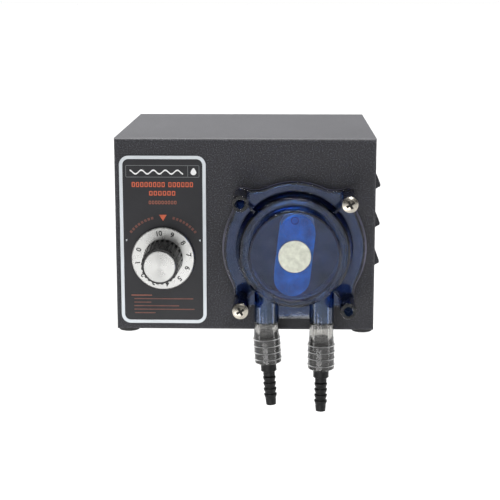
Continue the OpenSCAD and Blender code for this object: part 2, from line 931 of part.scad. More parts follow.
module rotor_front_arm() {
    color([0.15, 0.3, 0.7]) at_head() lean() {
        slab([front_arm_z[0], front_arm_z[1] - 2]) arm_outline();
        slab([front_arm_z[1] - 2 - eps, front_arm_z[1]]) difference() {
            union() {
                square([2 * arm_r, 2 * arm_c], center = true);
                for (s = [-1, 1]) translate([0, s * arm_c]) circle(arm_r);
            }
            circle(core_hub_r);
        }
    }
}

module rotor_rear_arm() {
    color([0.15, 0.3, 0.7]) at_head() lean() slab(rear_arm_z) arm_outline();
}

module rotor_hub() {
    color([0.87, 0.88, 0.8]) at_head() difference() {
        union() {
            disc(core_hub_r, [rear_arm_z[0], front_arm_z[1] + eps]);
            rotate_extrude() polygon([
                [0, front_arm_z[1]], [hub_r, front_arm_z[1]], [hub_r, window_z - 0.3],
                [hub_r - 0.3, window_z], [0, window_z]]);
        }
        slab([rear_arm_z[0] - 1, front_arm_z[0] + 1]) shaft_outline(true);
    }
}

module roller_pins() {
    color([0.75, 0.75, 0.76]) at_head() lean() for (s = [-1, 1])
        translate([0, s * roller_c]) disc(roller_pin_r, [rear_arm_z[0], front_arm_z[1] - 2]);
}

module roller(s) {
    color([0.85, 0.85, 0.82]) at_head() lean() translate([0, s * roller_c]) rotate_extrude() polygon([
        [roller_pin_r + roller_clear, roller_z[0]], [roller_r - 0.6, roller_z[0]],
        [roller_r, roller_z[0] + 0.6], [roller_r, roller_z[1] - 0.6],
        [roller_r - 0.6, roller_z[1]], [roller_shoulder_r, roller_z[1]],
        [roller_shoulder_r, roller_z[2]], [roller_pin_r + roller_clear, roller_z[2]]]);
}

module roller_1() { roller(1); }

module roller_2() { roller(-1); }

// ---------- squeeze tube ----------

// The tube's centre line: up the left leg, out round the raceway and down the right
// leg. A station is [centre, heading, half thickness, half width].
tube_sides = 18;
arc_r = raceway_r - tube_flat / 2 - 0.1;
flat_half_w = 7;
turn_r = 12;
turn_x = leg_x + turn_r;
turn_y = -sqrt(pow(arc_r + turn_r, 2) - turn_x * turn_x);
join_a = atan2(turn_y, turn_x);
bulge_r = 8.1;
slack_r = 7.1;
grip_r = in_barb_r + 0.15;
lumen_r = 3.2;

function blend(t) = t * t * (3 - 2 * t);

function mix(a, b, t) = a + (b - a) * t;

turn_steps = 9;
arc_steps = 18;

// right half of the route above the leg, listed upwards, each heading down the route
function arc_stations() = [
    for (i = [0:turn_steps])
        let (t = i / turn_steps)
        let (a = mix(180, 180 + join_a, t))
        let (k = blend(t))
        [[turn_x, turn_y] + turn_r * [cos(a), sin(a)], a + 90,
            mix(tube_r, tube_flat / 2, k), mix(tube_r, flat_half_w, k)],
    for (i = [1:arc_steps])
        let (a = mix(join_a, 90, i / arc_steps))
        [arc_r * [cos(a), sin(a)], a - 90, tube_flat / 2, flat_half_w]
];

// the leg below the arc, walked upwards: depth below the top of the connector, outer radius
function leg_profile() = [
    [tube_hold, bulge_r - 1.9],
    [tube_hold - 1.2, bulge_r - 0.4],
    for (i = [3:-1:0]) each [
        [in_barb_top + 2.6 + in_barb_pitch * i, bulge_r - 0.35],
        [in_barb_top + 1.6 + in_barb_pitch * i, bulge_r]],
    [in_barb_top - 1.5, bulge_r - 0.8],
    [-1.5, slack_r]
];

// the bore, walked downwards
function bore_profile() = [[-6, lumen_r], [-0.5, lumen_r], [0.6, grip_r], [tube_hold, grip_r]];

// a point on the connector's axis on side s (-1 left, 1 right), d below the connector's top
function leg_point(s, d) =
    let (side = s < 0 ? 0 : 1)
    let (y = connector_top[side] - d)
    let (slant = y < connector_turn_y ? (connector_turn_y - y) * tan(connector_lean[side]) : 0)
    [s * leg_x + slant, y];

function leg_station(s, p) = [leg_point(s, p[0]), -90 * s, p[1], p[1]];

// where a leg leaves the housing and widens
function exit_stations(s) = [
    for (p = [[0.1, tube_r], [-0.8, slack_r]]) [[s * leg_x, tunnel_end + p[0]], -90 * s, p[1], p[1]]
];

function mirrored(st) = [[-st[0][0], st[0][1]], -st[1], st[2], st[3]];

function reversed(v) = [for (i = [len(v) - 1:-1:0]) v[i]];

// left bore down, left leg up, over the arc, right leg down, right bore up
function tube_stations() =
    let (half = arc_stations())
    let (left_half = [for (st = half) mirrored(st)])
    concat(
        [for (p = bore_profile()) leg_station(-1, p)],
        [for (p = leg_profile()) leg_station(-1, p)],
        reversed(exit_stations(-1)),
        left_half,
        [for (i = [len(half) - 2:-1:0]) half[i]],
        exit_stations(1),
        [for (p = reversed(leg_profile())) leg_station(1, p)],
        [for (p = reversed(bore_profile())) leg_station(1, p)]);

// one ring of points: across the route by half thickness, along the depth by half width
function tube_ring(st) =
    let (side = [sin(st[1]), -cos(st[1])])
    let (flat = st[3] > st[2] + 0.01 ? mix(1, 0.72, (st[3] - st[2]) / (flat_half_w - tube_flat / 2)) : 1)
    [for (k = [0:tube_sides - 1])
        let (a = 360 / tube_sides * k)
        let (c = sign(cos(a)) * pow(abs(cos(a)), flat))
        let (s = sign(sin(a)) * pow(abs(sin(a)), flat))
        [st[0][0] + side[0] * st[2] * c, st[0][1] + side[1] * st[2] * c, tube_z_at(st) + st[3] * s]];

// the flattened stretch lies a little closer to the panel
function tube_z_at(st) =
    let (share = (st[3] - tube_r) / (flat_half_w - tube_r))
    mix(tube_z, (base_t + ring_in_z) / 2, max(0, min(1, share)));

module sweep_rings(rings) {
    n = len(rings);
    m = tube_sides;
    polyhedron(
        points = [for (ring_points = rings) each ring_points],
        faces = concat(
            [[for (k = [0:m - 1]) k]],
            [for (i = [0:n - 2], k = [0:m - 1])
                [i * m + k, (i + 1) * m + k, (i + 1) * m + (k + 1) % m, i * m + (k + 1) % m]],
            [[for (k = [m - 1:-1:0]) (n - 1) * m + k]]),
        convexity = 8);
}

module squeeze_tube() {
    color([0.85, 0.87, 0.88, 0.6]) at_head() sweep_rings([for (st = tube_stations()) tube_ring(st)]);
}

// ---------- tube connectors ----------

// local Z runs up the connector; its top is at z = 0
module connector() {
    difference() {
        rotate_extrude() polygon(concat(
            [[0, 0], [in_barb_r - 1.6, 0]],
            [for (i = [0:3]) each [
                [in_barb_r - 1.2, -in_barb_top + 1.4 - in_barb_pitch * i],
                [in_barb_r, -in_barb_top - 0.9 - in_barb_pitch * i],
                [in_barb_r, -in_barb_top - 1.5 - in_barb_pitch * i],
                [in_barb_r - 1.2, -in_barb_top - 1.7 - in_barb_pitch * i]]],
            [[in_barb_r - 1.2, -tube_hold], [4.6, -tube_hold - 0.4], [4.6, -tube_hold - 4.6],
                [out_barb_r - 0.3, -tube_hold - 5.2], [out_barb_r - 0.3, -out_barb_at + 1]],
            [for (i = [0:3]) each [
                [out_root_r, -out_barb_at + 0.4 - out_barb_pitch * i],
                [out_barb_r, -out_barb_at - out_barb_pitch * i],
                [out_barb_r, -out_barb_at - out_land - out_barb_pitch * i],
                [out_root_r, -out_barb_at - out_barb_pitch * (i + 0.75)]]],
            [[out_root_r, -connector_len + 2.6], [out_root_r - 0.2, -connector_len], [0, -connector_len]]));
        disc(connector_bore_r, [-connector_len - 1, 1]);
    }
}

module place_connector(s) {
    side = s < 0 ? 0 : 1;
    color([0.22, 0.22, 0.23]) at_head() translate([s * leg_x, connector_turn_y, tube_z])
        rotate(connector_lean[side]) translate([0, connector_top[side] - connector_turn_y, 0])
            rotate([-90, 0, 0]) connector();
}

module tube_connector_left() { place_connector(-1); }

module tube_connector_right() { place_connector(1); }

case_shell();
side_panel_left();
side_panel_right();
back_plate();
back_plate_screws();
rubber_feet();
foot_screws();
label_plate();
dial_skirt();
knob_body();
knob_cap();
knob_set_screw();
pot_shaft();
pot_body();
pot_nut();
control_board();
board_standoffs();
board_screws();
board_capacitors();
board_transformer();
board_heat_sink();
terminal_block();
cord_gland();
gland_locknut();
gearbox_front_plate();
gearbox_rear_plate();
gearbox_pillars();
panel_screws();
pillar_screws();
shaft_bushings();
output_shaft();
output_gear();
idler_gear();
idler_pin();
motor_can();
motor_magnets();
motor_bushings();
motor_armature();
motor_commutator();
motor_windings();
motor_shaft();
motor_pinion();
motor_end_cap();
motor_brushes();
head_base();
head_housing();
head_window();
head_screws();
head_nuts();
rotor_front_arm();
rotor_rear_arm();
rotor_hub();
roller_pins();
roller_1();
roller_2();
squeeze_tube();
tube_connector_left();
tube_connector_right();
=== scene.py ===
import json
import math

import bmesh
import bpy
from mathutils import Matrix, Vector


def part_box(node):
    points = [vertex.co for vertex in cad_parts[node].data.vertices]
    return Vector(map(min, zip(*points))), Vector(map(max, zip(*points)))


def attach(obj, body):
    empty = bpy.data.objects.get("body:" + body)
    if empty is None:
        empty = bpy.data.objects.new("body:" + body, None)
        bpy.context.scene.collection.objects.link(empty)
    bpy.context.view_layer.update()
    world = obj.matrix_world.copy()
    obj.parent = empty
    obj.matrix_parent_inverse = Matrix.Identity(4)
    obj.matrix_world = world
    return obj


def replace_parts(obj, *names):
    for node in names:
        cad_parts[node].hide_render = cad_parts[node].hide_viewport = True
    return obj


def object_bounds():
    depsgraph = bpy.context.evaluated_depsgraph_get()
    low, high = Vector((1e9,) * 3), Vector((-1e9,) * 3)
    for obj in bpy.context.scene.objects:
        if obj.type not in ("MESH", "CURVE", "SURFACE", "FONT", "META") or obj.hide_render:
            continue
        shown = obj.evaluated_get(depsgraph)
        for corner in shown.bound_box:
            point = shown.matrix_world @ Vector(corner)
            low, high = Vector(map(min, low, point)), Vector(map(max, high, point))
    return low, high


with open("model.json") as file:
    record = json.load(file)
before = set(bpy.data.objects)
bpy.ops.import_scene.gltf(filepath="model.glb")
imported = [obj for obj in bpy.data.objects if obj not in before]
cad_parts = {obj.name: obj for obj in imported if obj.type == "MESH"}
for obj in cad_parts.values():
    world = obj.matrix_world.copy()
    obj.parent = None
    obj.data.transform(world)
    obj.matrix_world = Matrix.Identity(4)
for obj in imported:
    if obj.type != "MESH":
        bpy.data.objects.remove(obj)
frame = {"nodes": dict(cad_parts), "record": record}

# A peristaltic dosing pump. The CAD nodes keep their shapes and get their finishes here, except
# that a hollow tube takes the place of the CAD tube. Print on the label and the dial is added as
# thin raised pieces. Places are in metres; print and tube are laid out in millimetres.

MM = 0.001
cad_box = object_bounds()


def centre(node):
    """The middle of a node's box."""
    low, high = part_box(node)
    return (low + high) / 2


def front_of(node):
    """The Y of the face of a node that looks at the viewer."""
    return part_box(node)[0].y


# ---------- materials ----------

def linear(red, green, blue):
    """A colour given as 0 to 255 display values, as Blender's linear values."""
    def channel(value):
        c = value / 255
        return c / 12.92 if c <= 0.04045 else ((c + 0.055) / 1.055) ** 2.4
    return (channel(red), channel(green), channel(blue), 1.0)


def shade(colour, factor):
    """A darker or lighter version of a colour."""
    return tuple(min(1.0, c * factor) for c in colour[:3]) + (1.0,)


class Finish:
    """A Principled material with short calls for the nodes that feed it."""

    def __init__(self, name, **sockets):
        self.material = bpy.data.materials.new(name)
        self.material.use_nodes = True
        self.tree = self.material.node_tree
        self.shader = self.tree.nodes["Principled BSDF"]
        self.coordinates = self.node("ShaderNodeTexCoord").outputs["Object"]
        for socket, value in sockets.items():
            self.shader.inputs[socket.replace("_", " ")].default_value = value

    def node(self, kind, **values):
        made = self.tree.nodes.new(kind)
        for key, value in values.items():
            if hasattr(made, key):
                setattr(made, key, value)
            else:
                made.inputs[key.replace("_", " ")].default_value = value
        return made

    def link(self, source, target):
        self.tree.links.new(source, target)

    def noise(self, scale, detail=3.0, coordinates=None, roughness=0.55):
        made = self.node("ShaderNodeTexNoise", Scale=scale, Detail=detail, Roughness=roughness)
        self.link(coordinates or self.coordinates, made.inputs["Vector"])
        return made.outputs["Fac"]

    def ramp(self, source, stops):
        made = self.node("ShaderNodeValToRGB")
        elements = made.color_ramp.elements
        while len(elements) < len(stops):
            elements.new(0.5)
        for element, (position, colour) in zip(elements, stops):
            element.position = position
            element.color = colour
        self.link(source, made.inputs["Fac"])
        return made.outputs["Color"]

    def span(self, source, low, high):
        """Maps a 0 to 1 pattern, most of which lies near the middle, to low to high."""
        made = self.node("ShaderNodeMapRange", From_Min=0.3, From_Max=0.7, To_Min=low, To_Max=high)
        self.link(source, made.inputs["Value"])
        return made.outputs["Result"]

    def colour(self, source):
        self.link(source, self.shader.inputs["Base Color"])

    def roughness(self, source):
        self.link(source, self.shader.inputs["Roughness"])

    def bump(self, source, height, strength=1.0):
        made = self.node("ShaderNodeBump", Strength=strength, Distance=height)
        self.link(source, made.inputs["Height"])
        existing = self.shader.inputs["Normal"].links
        if existing:
            self.link(existing[0].from_socket, made.inputs["Normal"])
        self.link(made.outputs["Normal"], self.shader.inputs["Normal"])

    def stretched(self, x, y, z):
        """Object coordinates scaled by axis, for grain that runs along one of them."""
        made = self.node("ShaderNodeMapping", Scale=(x, y, z))
        self.link(self.coordinates, made.inputs["Vector"])
        return made.outputs["Vector"]

    def turned_about(self, point, scale):
        """Coordinates that change only with the distance from an axis along Y through point."""
        moved = self.node("ShaderNodeMapping", Location=(-point.x, 0, -point.z), Scale=(1, 0, 1))
        self.link(self.coordinates, moved.inputs["Vector"])
        length = self.node("ShaderNodeVectorMath", operation="LENGTH")
        self.link(moved.outputs["Vector"], length.inputs[0])
        packed = self.node("ShaderNodeCombineXYZ")
        scaled = self.node("ShaderNodeMath", operation="MULTIPLY")
        scaled.inputs[1].default_value = scale
        self.link(length.outputs["Value"], scaled.inputs[0])
        self.link(scaled.outputs["Value"], packed.inputs["X"])
        return packed.outputs["Vector"]


def plain(name, colour, rough=(0.4, 0.55), spread=0.18, patch=70, grain=900, height=0.00004, **sockets):
    """Moulded or painted stuff: broad mottling, fine grain in the roughness and the surface."""
    made = Finish(name, **sockets)
    made.colour(made.ramp(made.noise(patch, 5), [
        (0.3, shade(colour, 1 - spread)), (0.7, shade(colour, 1 + spread))]))
    grain_pattern = made.noise(grain, 4)
    made.roughness(made.span(grain_pattern, *rough))
    made.bump(grain_pattern, height)
    return made.material


def powder_coat():
    """Dark grey textured coat: small lighter grains on a broad, faint mottling."""
    made = Finish("powder_coat", Specular_IOR_Level=0.25)
    grains = made.noise(1500, 2, roughness=0.7)
    broad = made.noise(25, 4)
    mix = made.node("ShaderNodeMix", data_type="RGBA", blend_type="MULTIPLY", Factor=1.0)
    made.link(made.ramp(grains, [
        (0.36, linear(36, 36, 39)), (0.52, linear(46, 46, 50)), (0.68, linear(80, 80, 86))]),
        mix.inputs["A"])
    made.link(made.ramp(broad, [(0.3, (0.8, 0.8, 0.8, 1)), (0.7, (1, 1, 1, 1))]), mix.inputs["B"])
    made.colour(mix.outputs["Result"])
    made.roughness(made.span(grains, 0.5, 0.62))
    made.bump(grains, 0.00012, 0.7)
    return made.material


def spun_metal(name, colour, axis_point, rough=(0.22, 0.36), **sockets):
    """Aluminium turned on a lathe: fine rings about an axis along Y, with a fan of highlights."""
    made = Finish(name, Metallic=1.0, Anisotropic=0.65, **sockets)
    rings = made.noise(1, 3, made.turned_about(axis_point, 9000))
    broad = made.noise(180, 3)
    made.colour(made.ramp(rings, [(0.25, shade(colour, 0.86)), (0.75, colour)]))
    made.roughness(made.span(broad, *rough))
    made.bump(rings, 0.00001, 0.5)
    tangent = made.node("ShaderNodeTangent", direction_type="RADIAL", axis="Y")
    made.link(tangent.outputs["Tangent"], made.shader.inputs["Tangent"])
    return made.material


def machined(name, colour, rough=(0.25, 0.42), stretch=(1, 12, 1), metallic=1.0):
    """Cut or drawn metal with a directional grain."""
    made = Finish(name, Metallic=metallic)
    grain = made.noise(500, 4, made.stretched(*stretch))
    made.colour(made.ramp(made.noise(90, 4), [(0.3, shade(colour, 0.85)), (0.7, shade(colour, 1.08))]))
    made.roughness(made.span(grain, *rough))
    made.bump(grain, 0.00001, 0.6)
    return made.material


def clear_plastic(name, tint, absorbed, density, rough=(0.01, 0.04), edge=0.0004,
                  waviness=0.00004, transmission=1.0):
    """Clear moulded plastic, coloured by its thickness, with softened edges and faint ripples."""
    made = Finish(name, Transmission_Weight=transmission, IOR=1.5, Specular_IOR_Level=0.3)
    made.colour(made.ramp(made.noise(60, 3), [(0.3, shade(tint, 0.8)), (0.7, tint)]))
    made.roughness(made.span(made.noise(120, 4), *rough))
    bevel = made.node("ShaderNodeBevel", samples=6, Radius=edge)
    made.link(bevel.outputs["Normal"], made.shader.inputs["Normal"])
    made.bump(made.noise(220, 2), waviness, 0.5)
    volume = made.node("ShaderNodeVolumeAbsorption", Color=absorbed, Density=density)
    output = made.tree.nodes["Material Output"]
    made.link(volume.outputs["Volume"], output.inputs["Volume"])
    return made.material


def whitened_tube():
    """Painted highlight: grey in front and behind, nearly white at the sides, where the rings bend away
    towards the side lamps.
    """
    made = Finish("whitened_tube", Specular_IOR_Level=0.6)
    parts = made.node("ShaderNodeSeparateXYZ")
    normal = made.node("ShaderNodeTexCoord").outputs["Normal"]
    made.link(normal, parts.inputs["Vector"])
    sideways = made.node("ShaderNodeMath", operation="ABSOLUTE")
    made.link(parts.outputs["X"], sideways.inputs[0])
    broken = made.node("ShaderNodeMath", operation="MULTIPLY")
    made.link(sideways.outputs["Value"], broken.inputs[0])
    made.link(made.span(made.noise(300, 3), 0.85, 1.1), broken.inputs[1])
    # painted highlight: the colour lightens where the surface faces sideways
    made.colour(made.ramp(broken.outputs["Value"], [
        (0.2, linear(92, 92, 92)), (0.55, linear(150, 150, 150)), (0.8, linear(225, 225, 225))]))
    grain = made.noise(900, 3)
    made.roughness(made.span(grain, 0.25, 0.4))
    made.bump(grain, 0.00001)
    return made.material


def circuit_board():
    """Green solder mask over copper tracks."""
    made = Finish("circuit_board", Coat_Weight=0.4, Coat_Roughness=0.15)
    tracks = made.node("ShaderNodeTexBrick", Scale=160.0, Mortar_Size=0.03,
                       Color1=linear(20, 84, 48), Color2=linear(26, 96, 54), Mortar=linear(14, 60, 36))
    made.link(made.coordinates, tracks.inputs["Vector"])
    made.colour(tracks.outputs["Color"])
    grain = made.noise(1200, 3)
    made.roughness(made.span(grain, 0.35, 0.5))
    made.bump(grain, 0.00002)
    return made.material


def build_materials():
    """One finish for each material slot in the record."""
    dial = centre("dial_skirt")
    silver = linear(182, 182, 180)
    return {
        "case": powder_coat(),
        "rubber": plain("foot_rubber", linear(30, 30, 31), (0.6, 0.8), grain=1600),
        "screw": machined("nickel_screw", linear(178, 173, 162), (0.18, 0.34)),
        "black_screw": plain("black_oxide_screw", linear(38, 38, 40), (0.35, 0.5), Metallic=0.6),
        "label": plain("label_black", linear(36, 36, 39), (0.38, 0.5), 0.1, height=0.00001,
                       Specular_IOR_Level=0.25),
        "aluminium": spun_metal("spun_aluminium", silver, dial),
        "knob": plain("knob_black", linear(9, 9, 10), (0.16, 0.25), grain=1400, height=0.00002),
        "steel": machined("bright_steel", linear(190, 192, 195)),
        "gear_steel": machined("sintered_steel", linear(150, 148, 142), (0.35, 0.5), (1, 1, 1)),
        "bronze": machined("sintered_bronze", linear(176, 136, 80), (0.35, 0.5), (1, 1, 1)),
        "brass": machined("turned_brass", linear(202, 168, 96)),
        "copper": machined("copper_winding", linear(196, 112, 62), (0.25, 0.4), (1, 1, 30)),
        "board": circuit_board(),
        "dark_plastic": plain("dark_plastic", linear(34, 34, 36), (0.4, 0.55), grain=1300),
        "capacitor": plain("capacitor_sleeve", linear(26, 38, 78), (0.25, 0.4)),
        "terminal": plain("terminal_green", linear(40, 112, 66), (0.35, 0.5)),
        "heat_sink": machined("extruded_aluminium", linear(160, 162, 166), (0.3, 0.5), (1, 1, 20)),
        "magnet": plain("ferrite", linear(46, 46, 48), (0.5, 0.7), grain=1800),
        "head_base": plain("base_plastic", linear(74, 73, 90), (0.3, 0.45), 0.45, patch=75),
        "blue_clear": clear_plastic("clear_blue", (0.9, 0.93, 1.0, 1), (0.08, 0.46, 0.86, 1), 700),
        "rotor_blue": plain("rotor_blue", linear(60, 172, 222), (0.3, 0.45), 0.4, patch=130),
        "cream": plain("hub_cream", linear(188, 190, 176), (0.4, 0.6), 0.2, patch=330),
        "roller": plain("roller_white", linear(214, 214, 208), (0.3, 0.45), 0.06),
        "tube": clear_plastic("clear_tube", (0.72, 0.71, 0.69, 1), (0.6, 0.6, 0.58, 1), 160,
                              rough=(0.08, 0.14), edge=0.0002, waviness=0.00001,
                              transmission=0.95),
        "connector": plain("connector_black", linear(11, 11, 12), (0.35, 0.5), grain=1100,
                           Specular_IOR_Level=0.2),
    }


def dress_cad_nodes(materials):
    """Gives every CAD node the finish of its slot."""
    for part in frame["record"]["subparts"]:
        mesh = frame["nodes"][part["node"]].data
        mesh.materials.clear()
        mesh.materials.append(materials[part["material_slot"]])


# ---------- thin raised print, drawn on planes that face the viewer ----------

def on_front(x, y, z):
    """Local X right, local Y up, local Z towards the viewer."""
    return Matrix.Translation((x, y, z)) @ Matrix.Rotation(math.radians(90), 4, "X")


def piece(name, mesh_data, place, material, body):
    """Puts a mesh made in local axes in its place, on a body and in a material slot."""
    mesh_data.transform(place)
    mesh_data.materials.clear()
    mesh_data.materials.append(material)
    made = bpy.data.objects.new(name, mesh_data)
    bpy.context.scene.collection.objects.link(made)
    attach(made, body)
    return made


def add_prism(work, outline, low, high, hole=None):
    """Adds an extruded outline, with one hole of as many points if given, to a bmesh."""
    count = len(outline)
    loops = {}
    for key, points in (("out", outline), ("in", hole or [])):
        for level in (low, high):
            loops[key, level] = [work.verts.new((x, y, level)) for x, y in points]
    for key, turn in (("out", 1), ("in", -1)):
        below, above = loops[key, low], loops[key, high]
        for i in range(len(below)):
            j = (i + 1) % len(below)
            face = [below[i], below[j], above[j], above[i]]
            work.faces.new(face[::turn])
    if hole:
        for level, turn in ((high, 1), (low, -1)):
            for i in range(count):
                j = (i + 1) % count
                face = [loops["out", level][i], loops["out", level][j],
                        loops["in", level][j], loops["in", level][i]]
                work.faces.new(face[::turn])
    else:
        work.faces.new(loops["out", high])
        work.faces.new(loops["out", low][::-1])


def rounded_rectangle(width, height, radius, steps=8, x=0.0, y=0.0):
    """The outline of a rectangle about x, y with round corners."""
    points = []
    for quadrant, (sx, sy) in enumerate(((1, 1), (-1, 1), (-1, -1), (1, -1))):
        cx, cy = x + sx * (width / 2 - radius), y + sy * (height / 2 - radius)
        for i in range(steps + 1):
            a = math.radians(90 * (quadrant + i / steps))
            points.append((cx + radius * math.cos(a), cy + radius * math.sin(a)))
    return points


def printed(name, shapes, place, material, body, slot_name, low=-0.02, high=0.05):
    """One piece made of several outlines in millimetres; a shape is (outline, hole or None)."""
    work = bmesh.new()
    for outline, hole in shapes:
        add_prism(work, [(x * MM, y * MM) for x, y in outline], low * MM, high * MM,
                  hole and [(x * MM, y * MM) for x, y in hole])
    bmesh.ops.recalc_face_normals(work, faces=work.faces)
    mesh = bpy.data.meshes.new(name)
    work.to_mesh(mesh)
    work.free()
    return piece(name, mesh, place, material, body)


def bar(x0, x1, y0, y1):
    """A solid bar with slightly round ends, as a shape for printed."""
    radius = min(x1 - x0, y1 - y0) * 0.3
    return rounded_rectangle(x1 - x0, y1 - y0, radius, 3, (x0 + x1) / 2, (y0 + y1) / 2), None


def arc_band(radius, width, start, end, steps=18):
    """A band about the origin; angles are clockwise from straight up."""
    def ring(r, order):
        return [(r * math.sin(a), r * math.cos(a)) for a in order]
    angles = [math.radians(start + (end - start) * i / steps) for i in range(steps + 1)]
    return ring(radius + width / 2, angles) + ring(radius - width / 2, angles[::-1]), None


def arrowhead(radius, angle, size, turn):
    """A small triangle on a circle, pointing along it clockwise (turn 1) or back (turn -1)."""
    a = math.radians(angle)
    along = Vector((math.cos(a), -math.sin(a))) * turn
    out = Vector((math.sin(a), math.cos(a)))
    at = out * radius
    corners = [at + along * size, at - along * size * 0.4 + out * size * 0.6,
               at - along * size * 0.4 - out * size * 0.6]
    return [tuple(c) for c in corners], None


def letter_frames(left, bottom, count, width, height, stroke, gap_after=None):
    """A row of hollow frames the size of letters, with a wider gap after gap_after of them."""
    frames = []
    for i in range(count):
        x = left + width * (i + 0.5) + (width * 0.6 if gap_after and i >= gap_after else 0)
        y = bottom + height / 2
        half_width, half_height = width * 0.38, height / 2
        outer = rounded_rectangle(2 * half_width, 2 * half_height, 0.3, 2, x, y)
        inner = rounded_rectangle(2 * (half_width - stroke), 2 * (half_height - stroke), 0.1, 2, x, y)
        frames.append((outer, inner))
    return frames


def label_print(silver, grey, white, orange, rust, faint):
    """Border, heading box, headings as frames, the dial's pointer and arcs, and bars for notes."""
    low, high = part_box("label_plate")
    width, height = (high.x - low.x) / MM, (high.z - low.z) / MM
    corner, border = 5.5, 1.95
    middle = (low + high) / 2
    plate = on_front(middle.x, low.y, middle.z)
    edge = rounded_rectangle(width, height, corner)
    inner_edge = rounded_rectangle(width - 2 * border, height - 2 * border, corner - border)
    printed("label_border", [(edge, inner_edge)], plate, silver, "root", "aluminium", high=0.08)

    # the rest is laid out from the centre of the two arcs, which is below the plate's middle
    arcs_below_middle = 10.15 * MM
    here = on_front(middle.x, low.y, middle.z - arcs_below_middle)
    box_low, box_high, half, line = 47.5, 54.6, 21.5, 0.3
    middle_y = (box_low + box_high) / 2
    frame_outer = rounded_rectangle(2 * half, box_high - box_low, 0.6, 3, 0, middle_y)
    frame_inner = rounded_rectangle(2 * (half - line), box_high - box_low - 2 * line, 0.3, 3,
                                    0, middle_y)
    divider_x = 14.6
    divider = bar(divider_x, divider_x + line, box_low, box_high)
    printed("label_heading_box", [(frame_outer, frame_inner), divider], here, grey, "root", "aluminium")
    wave = [(x, middle_y + 1.1 * math.sin(x * 0.9)) for x in [i * 0.5 - 19 for i in range(63)]]
    wave_low = [(x, y - 0.9) for x, y in reversed(wave)]
    printed("label_wave", [(wave + wave_low, None)], here, white, "root", "aluminium")
    drop = [(18.1 + 1.7 * math.cos(a) * (1 - 0.45 * max(0, math.sin(a))),
             middle_y - 0.5 + 1.7 * math.sin(a) * (1.45 if math.sin(a) > 0 else 1))
            for a in [math.radians(i * 15) for i in range(24)]]
    printed("label_drop", [(drop, None)], here, white, "root", "aluminium")

    first_line = letter_frames(-18.3, 41.8, 14, 2.49, 2.9, 0.55, 8)
    second_line = letter_frames(-8.2, 36.8, 6, 2.65, 2.7, 0.55)
    model_line = letter_frames(-8.4, 31.7, 9, 1.85, 2.0, 0.4)
    printed("label_model_row", model_line, here, rust, "root", "label")
    pointer = ([(-2.2, 25.4), (0, 21.7), (2.2, 25.4)], None)
    printed("label_headings", first_line + second_line + [pointer], here, orange, "root", "label")

    arcs = []
    arc_from, arc_pitch, arc_length = 13.5, 5.1, 3.2
    for turn in (-1, 1):
        for i in range(8):
            start = arc_from + arc_pitch * i
            arcs.append(arc_band(24.2, 1.5, turn * start, turn * (start + arc_length), 3))
    printed("label_direction_arcs", arcs, here, faint, "root", "label")
    heads = [arrowhead(23.9, turn * 64.5, 0.9, turn) for turn in (-1, 1)]
    printed("label_arrowheads", heads, here, silver, "root", "aluminium")

    notes = [(-19.3, -7.1), (-17.6, 17.4), (-17.7, -7.5), (-17.7, 9), (-17.7, 18.1), (-17.4, -5.1)]
    note_top, note_pitch, half_bar = -22.9, 2.14, 0.32
    note_bars = []
    for i, (left, right) in enumerate(notes):
        y = note_top - note_pitch * i
        note_bars.append(bar(left, right, y - half_bar, y + half_bar))
    printed("label_note_heading", note_bars[:1], here, rust, "root", "label")
    printed("label_notes", note_bars[1:], here, faint, "root", "label")


def dial_numbers(ink):
    """The scale 10 to 0, each number upright when it stands under the pointer."""
    skirt = centre("dial_skirt")
    face = on_front(skirt.x, front_of("dial_skirt"), skirt.z)
    radius, size, first, step = 15.1 * MM, 4.3 * MM, -9, 30
    for i in range(11):
        value = 10 - i
        curve = bpy.data.curves.new(f"number_{value}", "FONT")
        curve.body = str(value)
        curve.size = size
        curve.align_x = "CENTER"
        curve.align_y = "CENTER"
        curve.extrude = 0.04 * MM
        curve.offset = 0.1 * MM
        curve.resolution_u = 4
        curve.space_character = 0.92
        holder = bpy.data.objects.new(f"number_{value}", curve)
        mesh = bpy.data.meshes.new_from_object(holder)
        bpy.data.objects.remove(holder)
        turned = Matrix.Rotation(-math.radians(first + step * i), 4, "Z")
        raised = Matrix.Translation((0, radius, 0.0))
        piece(f"dial_number_{value}", mesh, face @ turned @ raised, ink, "dial")


def screw_recesses(dark):
    """The shaded floor of the cross recess in each of the head's two long screws."""
    low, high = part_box("head_screws")
    head_radius, turn, depth = 4.5, math.radians(30), (-1.78, -1.0)
    long, wide = head_radius * 0.54, head_radius * 0.14
    cross = [(long, wide), (wide, wide), (wide, long)]
    outline = [(x * math.cos(a) - y * math.sin(a), x * math.sin(a) + y * math.cos(a))
               for a in [turn + math.radians(90 * i) for i in range(4)] for x, y in cross]
    inset = head_radius * MM
    for side, x, z in (("left", low.x + inset, low.z + inset), ("right", high.x - inset, high.z - inset)):
        printed(f"screw_recess_{side}", [(outline, None)], on_front(x, low.y, z), dark, "root",
                "black_screw", *depth)


def gate_mark(edge):
    """The ring left on the window where its mould was filled, coloured dark navy as painted shade along
    the edge of its small boss.
    """
    window = centre("head_window")
    above_middle = 20.9 * MM

    def circle(radius):
        return [(radius * math.cos(math.radians(a)), radius * math.sin(math.radians(a)))
                for a in range(0, 360, 10)]
    place = on_front(window.x, front_of("head_window"), window.z + above_middle)
    printed("window_gate_mark", [(circle(2.2), circle(1.8))], place, edge, "root", "blue_clear")


# ---------- the clear pump tube ----------

